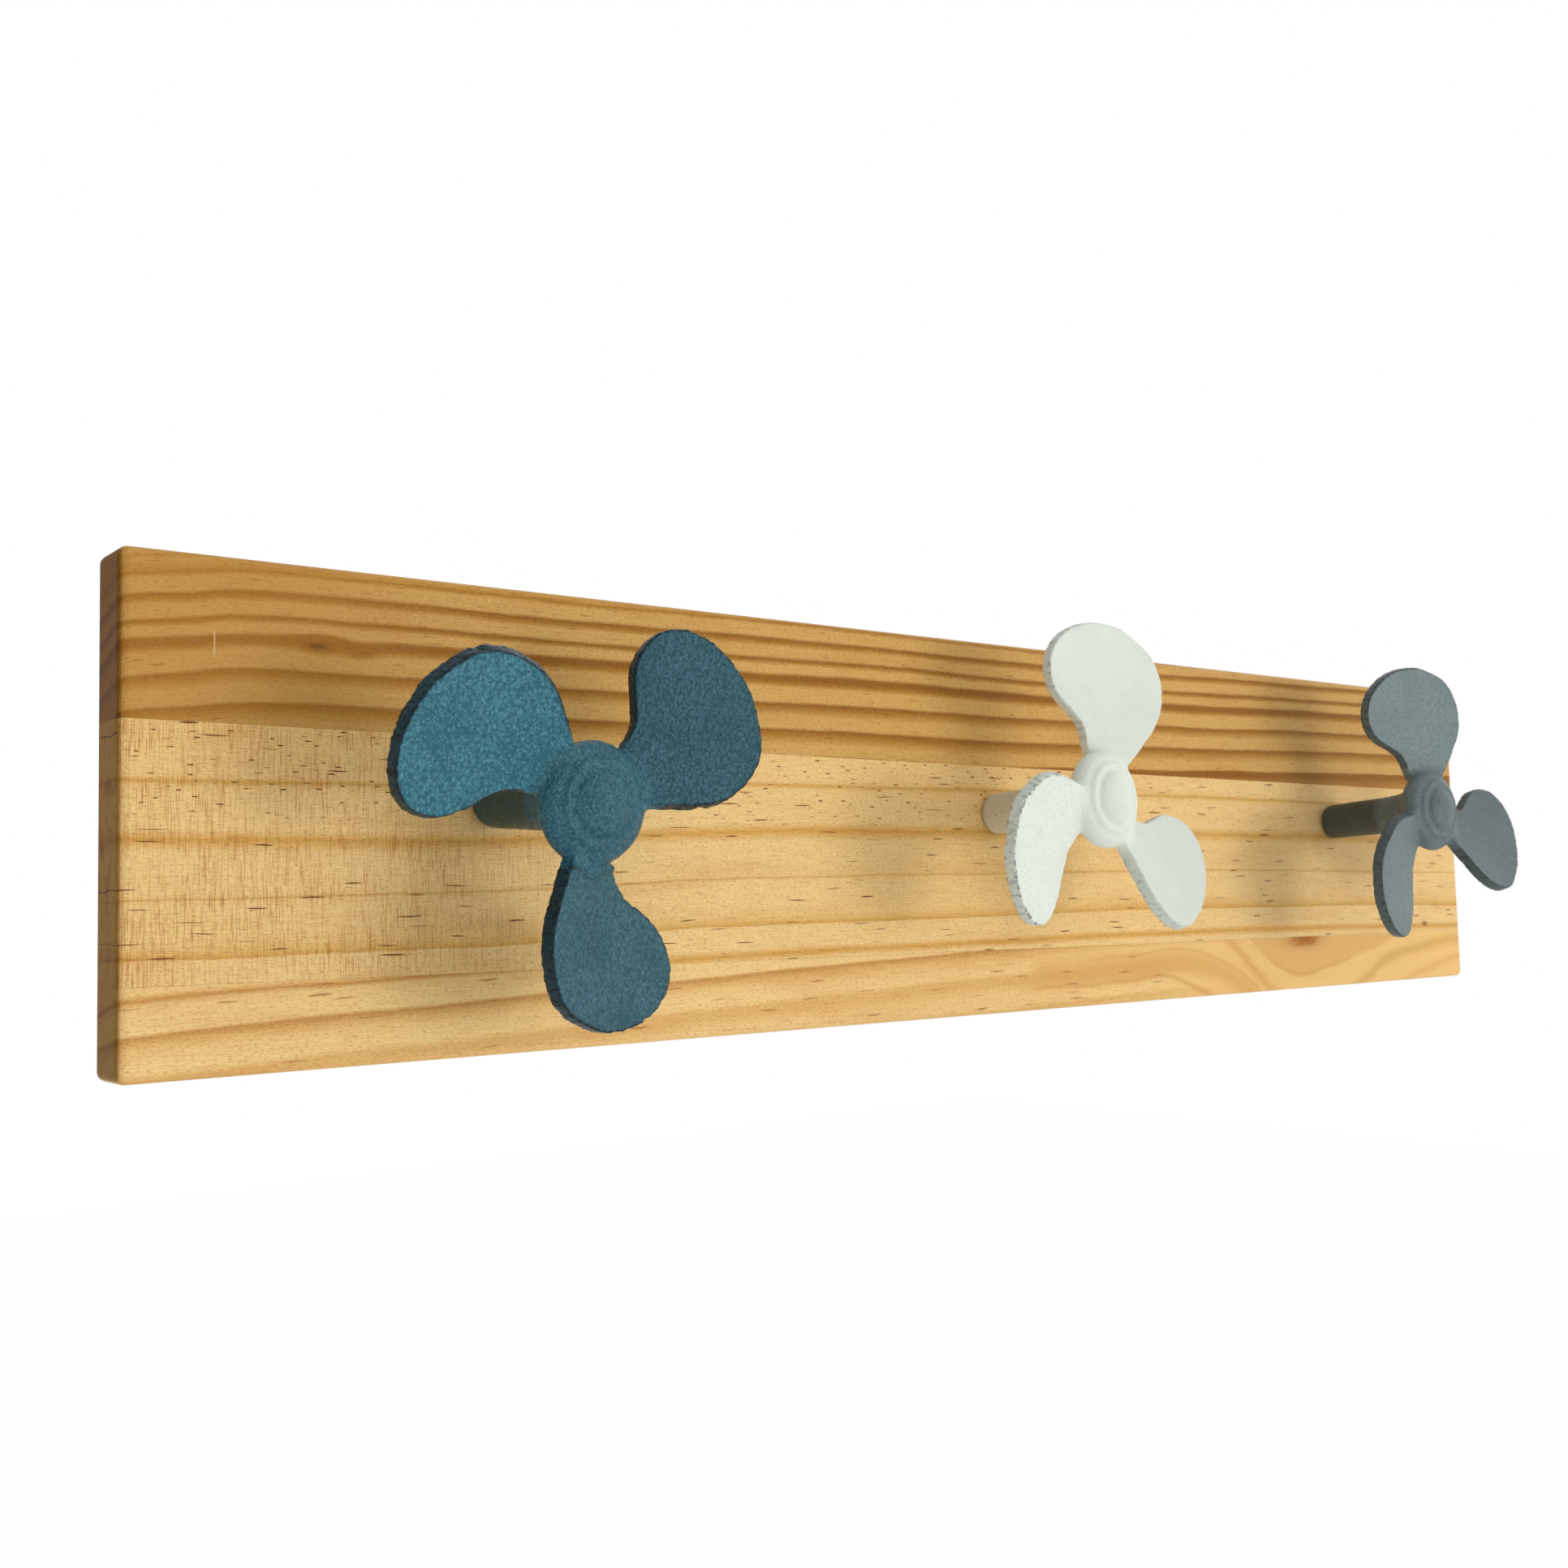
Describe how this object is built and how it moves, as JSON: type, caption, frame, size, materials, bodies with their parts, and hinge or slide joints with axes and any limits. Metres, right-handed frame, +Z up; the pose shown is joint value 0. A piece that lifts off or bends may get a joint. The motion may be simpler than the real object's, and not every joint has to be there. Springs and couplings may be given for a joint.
{
  "type": "wall coat rack",
  "caption": "Wall coat rack: glued pine board with cast-iron hooks shaped like ship's propellers, painted blue, white and grey, hung on keyhole plates let into its back.",
  "frame": {"origin": "on the flat back face, at mid-length, on the height line of the two keyhole hanger plates, 20 mm below the top edge", "axes": "+Z up, X along the board, the front with the hooks faces -Y, and +Y points into the wall"},
  "size_m": [0.6, 0.0785, 0.1303],
  "materials": {
    "pine_banded": "oiled pine with strong brown latewood bands",
    "pine_pale": "oiled pine, pale, with fine dark resin dashes",
    "pine_flame": "oiled pine with a knot and flame figure",
    "blue_paint": "satin steel-blue paint over rough sand-cast iron",
    "white_paint": "satin off-white paint over sand-cast iron, chipped at the edges",
    "grey_paint": "satin blue-grey paint over smooth cast iron",
    "zinc_steel": "bright zinc plate",
    "spring_steel": "dark oiled spring steel",
    "brassed_steel": "brass-plated steel"
  },
  "bodies": {
    "rack": {"board_upper_stave": "pine_banded", "board_middle_stave": "pine_pale", "board_lower_stave": "pine_flame", "blue_hook_flat_washer": "zinc_steel", "white_hook_flat_washer": "zinc_steel", "grey_hook_flat_washer": "zinc_steel", "left_keyhole_hanger": "brassed_steel", "left_hanger_screw_outer": "brassed_steel", "left_hanger_screw_inner": "brassed_steel", "right_keyhole_hanger": "brassed_steel", "right_hanger_screw_outer": "brassed_steel", "right_hanger_screw_inner": "brassed_steel"},
    "blue_hook": {"blue_propeller_hook": "blue_paint", "blue_hook_screw": "zinc_steel", "blue_hook_lock_washer": "spring_steel"},
    "white_hook": {"white_propeller_hook": "white_paint", "white_hook_screw": "zinc_steel", "white_hook_lock_washer": "spring_steel"},
    "grey_hook": {"grey_propeller_hook": "grey_paint", "grey_hook_screw": "zinc_steel", "grey_hook_lock_washer": "spring_steel"}
  },
  "joints": [
    {"name": "blue_hook_turn", "type": "hinge", "parent": "rack", "child": "blue_hook", "pos_m": [-0.2, -0.018, -0.0407], "axis": [0, -1, 0], "continuous": true},
    {"name": "white_hook_turn", "type": "hinge", "parent": "rack", "child": "white_hook", "pos_m": [-0.003, -0.018, -0.0407], "axis": [0, -1, 0], "continuous": true},
    {"name": "grey_hook_turn", "type": "hinge", "parent": "rack", "child": "grey_hook", "pos_m": [0.2, -0.018, -0.0407], "axis": [0, -1, 0], "continuous": true}
  ]
}
